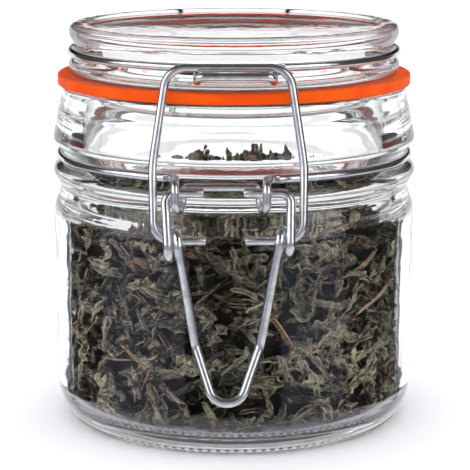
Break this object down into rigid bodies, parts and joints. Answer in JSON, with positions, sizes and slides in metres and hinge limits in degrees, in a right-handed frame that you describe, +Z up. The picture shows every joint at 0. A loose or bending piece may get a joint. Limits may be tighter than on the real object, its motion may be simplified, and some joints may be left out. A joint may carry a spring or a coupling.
{
  "type": "clip top jar of loose tea",
  "caption": "Round glass jar with a hinged glass lid, an orange rubber seal and a sprung wire clasp, half full of dried tea leaves. The lever lifts the bail, then the lid swings back.",
  "frame": {"origin": "on the surface the jar stands on, under the middle of the whole jar's bounding box", "axes": "+Z up along the glass, the clasp faces -Y, the hinge is at +Y, +X to the right of a viewer who faces the clasp"},
  "size_m": [0.0914, 0.1067, 0.0999],
  "materials": {
    "jar_glass": "clear pressed glass with a faint green tint, smooth",
    "lid_glass": "clear pressed glass, smooth",
    "tea_leaf": "dull dried leaf, dark grey-brown with olive and a few tan stems",
    "seal": "smooth orange rubber, slightly dull",
    "wire": "bright zinc plated steel wire"
  },
  "bodies": {
    "jar": {"jar": "jar_glass", "tea": "tea_leaf", "neck_wire": "wire"},
    "lid": {"lid": "lid_glass", "gasket": "seal", "lid_wire": "wire"},
    "lever": {"lever": "wire"},
    "bail": {"bail": "wire"}
  },
  "joints": [
    {"name": "lid_hinge", "type": "hinge", "parent": "jar", "child": "lid", "pos_m": [0, 0.05005, 0.086], "axis": [-1, 0, 0], "range_deg": [0, 110]},
    {"name": "lever_pivot", "type": "hinge", "parent": "jar", "child": "lever", "pos_m": [0, -0.04665, 0.0653], "axis": [-1, 0, 0], "range_deg": [0, 150]},
    {"name": "bail_pivot", "type": "hinge", "parent": "lever", "child": "bail", "pos_m": [0, -0.04785, 0.0543], "axis": [-1, 0, 0], "range_deg": [-150, 0]}
  ],
  "couplings": [
    {"joint": "bail_pivot", "follows": "lever_pivot", "ratio": -1}
  ]
}
